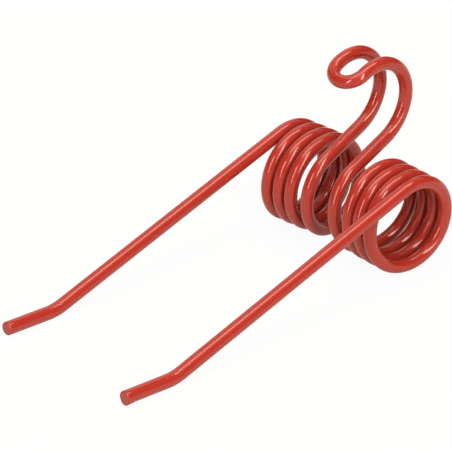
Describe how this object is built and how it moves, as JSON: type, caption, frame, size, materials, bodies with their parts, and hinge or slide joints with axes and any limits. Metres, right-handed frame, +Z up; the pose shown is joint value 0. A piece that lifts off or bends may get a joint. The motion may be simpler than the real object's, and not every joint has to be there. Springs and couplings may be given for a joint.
{
  "type": "baler pick-up tine",
  "caption": "Sprung pick-up tine bent from round steel wire: long legs with lifted tips, open coils, and a hooked arm with an eye that bolts it to a tine bar.",
  "frame": {"origin": "middle of the bolt eye, where the bolt's axis crosses the middle of the wire", "axes": "+Z up as the tine rests on a floor, X across the two coils with the halves mirrored about X = 0, tines pointing towards -Y"},
  "size_m": [0.0802, 0.1853, 0.0869],
  "materials": {
    "red_paint": "gloss"
  },
  "bodies": {
    "root": {"tine": "red_paint"}
  },
  "joints": []
}
